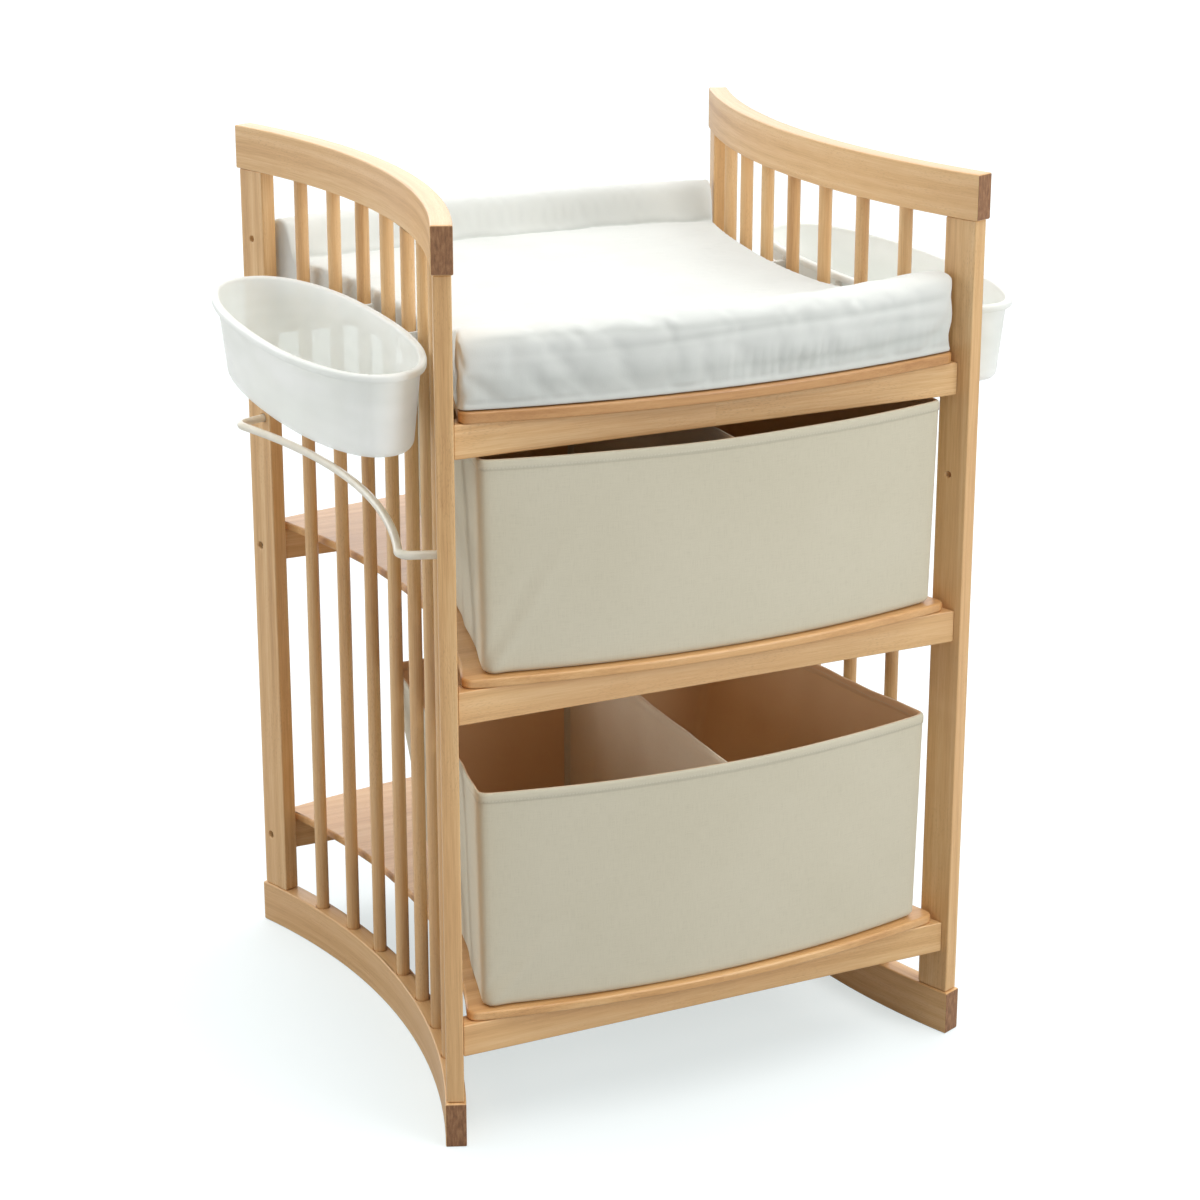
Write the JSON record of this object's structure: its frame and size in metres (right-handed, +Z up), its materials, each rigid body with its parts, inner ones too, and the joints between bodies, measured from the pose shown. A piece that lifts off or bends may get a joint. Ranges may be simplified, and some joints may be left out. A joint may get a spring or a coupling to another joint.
{
  "type": "changing table",
  "caption": "Beech baby changing table with bowed spindle gables, padded top, open shelves with pull-out fabric boxes, hanging bins and a towel bar.",
  "frame": {"origin": "on the floor under the middle of the table", "axes": "+Z up, front faces -Y, the gable with the towel bar is on -X"},
  "size_m": [0.8316, 0.645, 0.98],
  "materials": {
    "beech": "clear satin lacquer on beech, long straight grain, darker end grain",
    "beech_board": "clear satin lacquer on beech veneer, slightly pinker than the rails",
    "dark_steel": "blackened socket bolts",
    "pad_cotton": "white terry cotton cover with soft gathers",
    "canvas": "greige plain-weave canvas over stiff board",
    "canvas_lining": "thin beige lining cloth with soft folds",
    "fibreboard": "matt hardboard",
    "bin_plastic": "frosted translucent polypropylene",
    "clip_plastic": "white moulded plastic",
    "white_lacquer": "off-white lacquered bent rod"
  },
  "bodies": {
    "frame": {"left_top_rail": "beech", "left_bottom_rail": "beech", "left_front_post": "beech", "left_rear_post": "beech", "left_dowel_1": "beech", "left_dowel_2": "beech", "left_dowel_3": "beech", "left_dowel_4": "beech", "left_dowel_5": "beech", "left_dowel_6": "beech", "left_dowel_7": "beech", "right_top_rail": "beech", "right_bottom_rail": "beech", "right_front_post": "beech", "right_rear_post": "beech", "right_dowel_1": "beech", "right_dowel_2": "beech", "right_dowel_3": "beech", "right_dowel_4": "beech", "right_dowel_5": "beech", "right_dowel_6": "beech", "right_dowel_7": "beech", "deck_front_rail": "beech", "deck_rear_rail": "beech", "mid_front_rail": "beech", "mid_rear_rail": "beech", "bottom_front_rail": "beech", "bottom_rear_rail": "beech", "deck_board": "beech_board", "mid_shelf": "beech_board", "bottom_shelf": "beech_board", "bolt_deck_left_front": "dark_steel", "bolt_deck_left_rear": "dark_steel", "bolt_deck_right_front": "dark_steel", "bolt_deck_right_rear": "dark_steel", "bolt_mid_left_front": "dark_steel", "bolt_mid_left_rear": "dark_steel", "bolt_mid_right_front": "dark_steel", "bolt_mid_right_rear": "dark_steel", "bolt_bottom_left_front": "dark_steel", "bolt_bottom_left_rear": "dark_steel", "bolt_bottom_right_front": "dark_steel", "bolt_bottom_right_rear": "dark_steel", "left_bin_clip_front": "clip_plastic", "left_bin_clip_rear": "clip_plastic", "right_bin_clip_front": "clip_plastic", "right_bin_clip_rear": "clip_plastic", "towel_bar": "white_lacquer"},
    "upper_box": {"upper_box_shell": "canvas", "upper_box_base": "fibreboard", "upper_box_divider": "canvas_lining"},
    "lower_box": {"lower_box_shell": "canvas", "lower_box_base": "fibreboard", "lower_box_divider": "canvas_lining"},
    "pad": {"changing_pad": "pad_cotton"},
    "left_bin_body": {"left_bin": "bin_plastic"},
    "right_bin_body": {"right_bin": "bin_plastic"}
  },
  "joints": [
    {"name": "upper_box_slide", "type": "slide", "parent": "frame", "child": "upper_box", "axis": [0, -1, 0], "range_m": [0, 0.36]},
    {"name": "lower_box_slide", "type": "slide", "parent": "frame", "child": "lower_box", "axis": [0, -1, 0], "range_m": [0, 0.36]},
    {"name": "pad_lift", "type": "slide", "parent": "frame", "child": "pad", "axis": [0, 0, 1], "range_m": [0, 0.22]},
    {"name": "left_bin_lift", "type": "slide", "parent": "frame", "child": "left_bin_body", "axis": [0, 0, 1], "range_m": [0, 0.09]},
    {"name": "right_bin_lift", "type": "slide", "parent": "frame", "child": "right_bin_body", "axis": [0, 0, 1], "range_m": [0, 0.09]}
  ]
}
